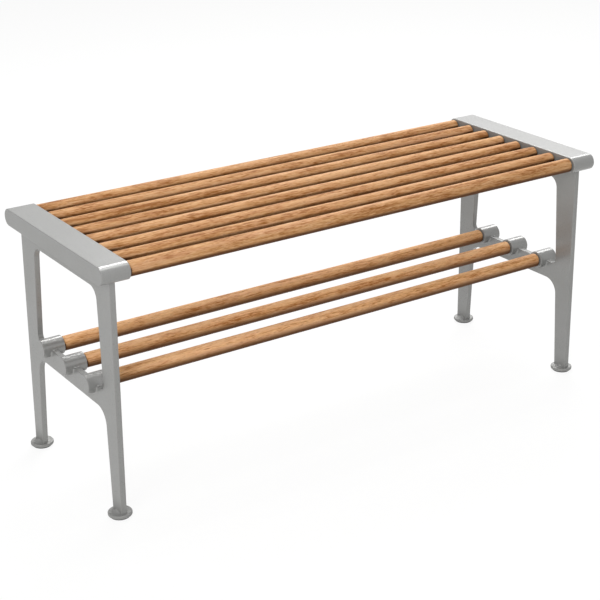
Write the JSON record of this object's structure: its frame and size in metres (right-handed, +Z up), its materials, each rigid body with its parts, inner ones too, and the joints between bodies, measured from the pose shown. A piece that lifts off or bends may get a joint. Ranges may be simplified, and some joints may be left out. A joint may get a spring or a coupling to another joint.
{
  "type": "slatted bench",
  "caption": "Low straight bench with a seat of round wooden rods and a shelf of wooden rods between cast metal end frames on round feet.",
  "frame": {"origin": "on the floor, under the middle of the bench", "axes": "+X along the bench, towards the right-hand end frame; -Y towards the front; +Z up"},
  "size_m": [1, 0.352, 0.433],
  "materials": {
    "oiled_wood": "oiled, satin",
    "cast_aluminium": "fine satin",
    "zinc_steel": "zinc plated",
    "black_plastic": "matte"
  },
  "bodies": {
    "root": {"seat_rod_1": "oiled_wood", "seat_rod_2": "oiled_wood", "seat_rod_3": "oiled_wood", "seat_rod_4": "oiled_wood", "seat_rod_5": "oiled_wood", "seat_rod_6": "oiled_wood", "seat_rod_7": "oiled_wood", "seat_rod_8": "oiled_wood", "shelf_rod_1": "oiled_wood", "shelf_rod_2": "oiled_wood", "shelf_rod_3": "oiled_wood", "end_frame_left": "cast_aluminium", "end_frame_right": "cast_aluminium", "seat_screw_left_1": "zinc_steel", "seat_screw_left_2": "zinc_steel", "seat_screw_left_3": "zinc_steel", "seat_screw_left_4": "zinc_steel", "seat_screw_left_5": "zinc_steel", "seat_screw_left_6": "zinc_steel", "seat_screw_left_7": "zinc_steel", "seat_screw_left_8": "zinc_steel", "shelf_screw_left_1": "zinc_steel", "shelf_screw_left_2": "zinc_steel", "shelf_screw_left_3": "zinc_steel", "seat_screw_right_1": "zinc_steel", "seat_screw_right_2": "zinc_steel", "seat_screw_right_3": "zinc_steel", "seat_screw_right_4": "zinc_steel", "seat_screw_right_5": "zinc_steel", "seat_screw_right_6": "zinc_steel", "seat_screw_right_7": "zinc_steel", "seat_screw_right_8": "zinc_steel", "shelf_screw_right_1": "zinc_steel", "shelf_screw_right_2": "zinc_steel", "shelf_screw_right_3": "zinc_steel", "glide_front_left": "black_plastic", "glide_back_left": "black_plastic", "glide_front_right": "black_plastic", "glide_back_right": "black_plastic"}
  },
  "joints": []
}
